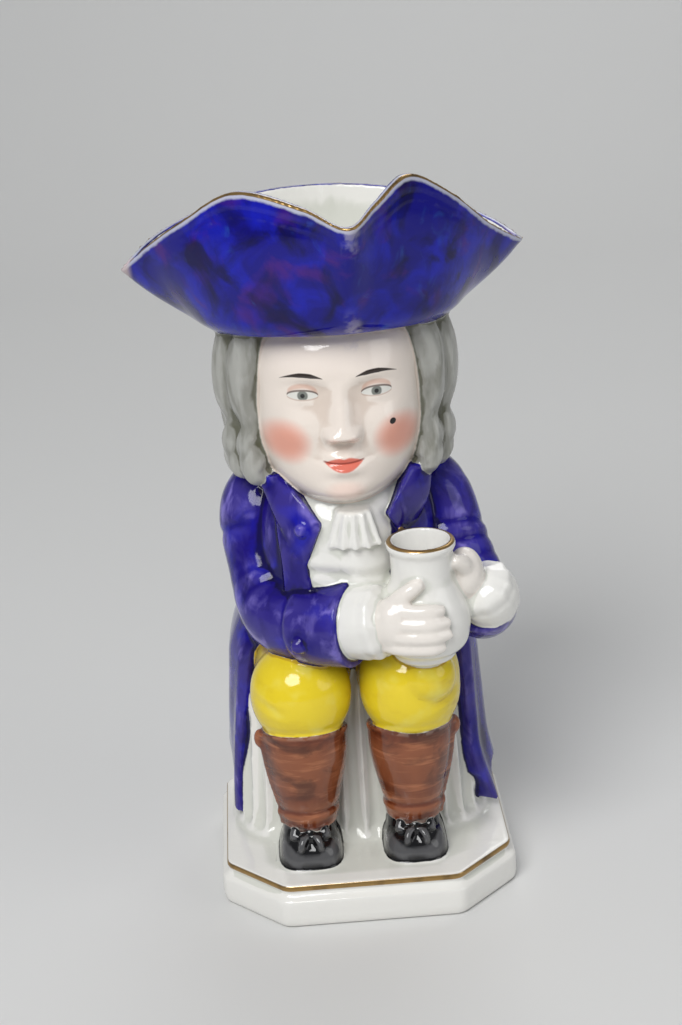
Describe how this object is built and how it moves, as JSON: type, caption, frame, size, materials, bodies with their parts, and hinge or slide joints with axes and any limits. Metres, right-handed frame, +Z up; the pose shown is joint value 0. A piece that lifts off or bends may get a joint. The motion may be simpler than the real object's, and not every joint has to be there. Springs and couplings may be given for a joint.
{
  "type": "toby jug",
  "caption": "Glazed porcelain jug shaped as a seated figure in a tricorne hat holding a small jug; the hat is the mouth and a loop handle is behind.",
  "frame": {"origin": "centre of the plinth's flat underside", "axes": "+Z up, the figure faces -Y, +X to the figure's left hand"},
  "size_m": [0.0943, 0.0966, 0.1788],
  "materials": {
    "glazed_porcelain": "gloss"
  },
  "bodies": {
    "root": {"toby_jug": "glazed_porcelain"}
  },
  "joints": []
}
